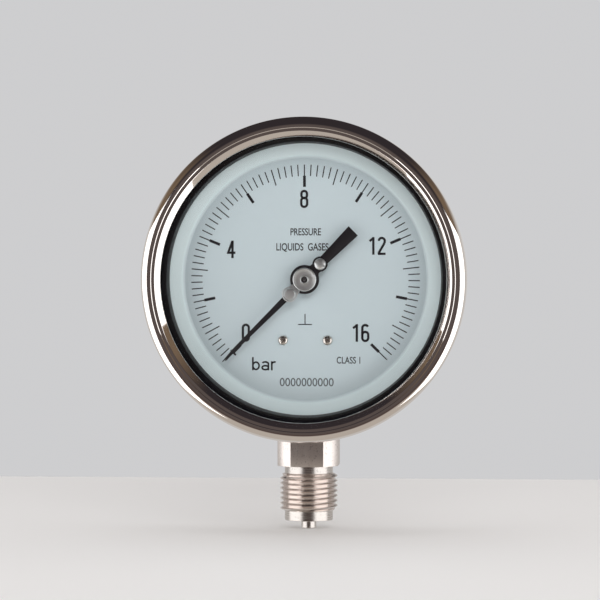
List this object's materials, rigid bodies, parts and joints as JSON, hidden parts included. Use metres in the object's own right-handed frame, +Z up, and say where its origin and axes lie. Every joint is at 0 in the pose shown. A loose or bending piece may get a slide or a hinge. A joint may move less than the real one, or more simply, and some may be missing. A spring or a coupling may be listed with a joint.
{
  "type": "pressure gauge",
  "caption": "Round dial pressure gauge, Bourdon tube type, all-steel case with bayonet bezel and a bottom threaded connection.",
  "frame": {"origin": "Stem axis at the flat sealing face of the threaded connection, where it meets the bottom of its port.", "axes": "+Z up along the stem, away from the port. -Y is the way the dial faces. +X is to the right as the dial is read."},
  "size_m": [0.116, 0.05, 0.149],
  "materials": {
    "polished_steel": "mirror-polished stainless steel",
    "case_steel": "satin stainless steel, turned",
    "satin_steel": "satin stainless steel",
    "machined_steel": "bright machined stainless steel",
    "tube_steel": "drawn stainless steel tube",
    "spring_steel": "hardened steel, polished",
    "glass": "clear laminated safety glass",
    "black_rubber": "glossy black seal",
    "plug_rubber": "matt black rubber",
    "dial_paint": "pale satin paint with black print",
    "pointer_black": "satin black paint"
  },
  "bodies": {
    "case": {"case": "case_steel", "blowout_plug": "plug_rubber", "bezel_ring": "polished_steel", "window": "glass", "window_gasket": "black_rubber", "spacer_ring": "black_rubber", "dial": "dial_paint", "dial_screw_left": "machined_steel", "dial_screw_right": "machined_steel", "dial_post_left": "satin_steel", "dial_post_right": "satin_steel", "socket": "machined_steel", "socket_weld_collar": "satin_steel", "restrictor": "satin_steel", "bourdon_tube": "tube_steel", "movement_front_plate": "satin_steel", "movement_back_plate": "satin_steel", "pillar_1": "satin_steel", "pillar_2": "satin_steel", "pillar_3": "satin_steel", "plate_screw_front_1": "machined_steel", "plate_screw_front_2": "machined_steel", "plate_screw_front_3": "machined_steel", "plate_screw_back_1": "machined_steel", "plate_screw_back_2": "machined_steel", "plate_screw_back_3": "machined_steel", "movement_screw_left": "machined_steel", "movement_screw_right": "machined_steel", "pinion_bush_front": "machined_steel", "pinion_bush_back": "machined_steel", "sector_bush_front": "machined_steel", "sector_bush_back": "machined_steel", "hairspring_stud": "machined_steel", "hairspring": "spring_steel"},
    "sector": {"sector_gear": "satin_steel", "sector_arbor": "spring_steel", "link_pin_sector": "machined_steel"},
    "pinion": {"pinion_shaft": "spring_steel", "hairspring_collet": "machined_steel", "pointer_hub": "machined_steel"},
    "pointer": {"pointer_carrier": "pointer_black", "pointer_blade": "pointer_black", "pointer_clamp_plate": "machined_steel", "pointer_rivet": "machined_steel"},
    "adjust_screw": {"pointer_adjust_screw": "machined_steel"},
    "tube_tip": {"tube_tip": "satin_steel", "link_pin_tip": "machined_steel"},
    "link": {"link": "satin_steel"}
  },
  "joints": [
    {"name": "pointer_turn", "type": "hinge", "parent": "case", "child": "pinion", "pos_m": [0, -0.0225, 0.088], "axis": [0, 1, 0], "range_deg": [0, 271], "stiffness_Nm_per_rad": 0.0002},
    {"name": "sector_swing", "type": "hinge", "parent": "case", "child": "sector", "pos_m": [0.012, -0.009, 0.06722], "axis": [0, -1, 0], "range_deg": [0, 30.1]},
    {"name": "tube_tip_travel", "type": "slide", "parent": "case", "child": "tube_tip", "axis": [0.342, 0, 0.9397], "range_m": [0, 0.00435], "stiffness_N_per_m": 300, "deforming": ["bourdon_tube"]},
    {"name": "link_swing", "type": "hinge", "parent": "tube_tip", "child": "link", "pos_m": [0.0285, -0.007, 0.0787], "axis": [0, 1, 0], "range_deg": [0, 3.6]},
    {"name": "zero_adjust", "type": "hinge", "parent": "pinion", "child": "pointer", "pos_m": [0, -0.0225, 0.088], "axis": [0, 1, 0], "range_deg": [-10, 10]},
    {"name": "adjust_screw_turn", "type": "hinge", "parent": "pointer", "child": "adjust_screw", "pos_m": [0.00552, -0.0225, 0.09352], "axis": [0, 1, 0], "range_deg": [-91, 91]}
  ],
  "couplings": [
    {"joint": "pointer_turn", "follows": "tube_tip_travel", "rad_per_m": 1083.3},
    {"joint": "sector_swing", "follows": "tube_tip_travel", "rad_per_m": 120.37},
    {"joint": "link_swing", "follows": "tube_tip_travel", "rad_per_m": 14.043},
    {"joint": "adjust_screw_turn", "follows": "zero_adjust", "ratio": -9}
  ]
}
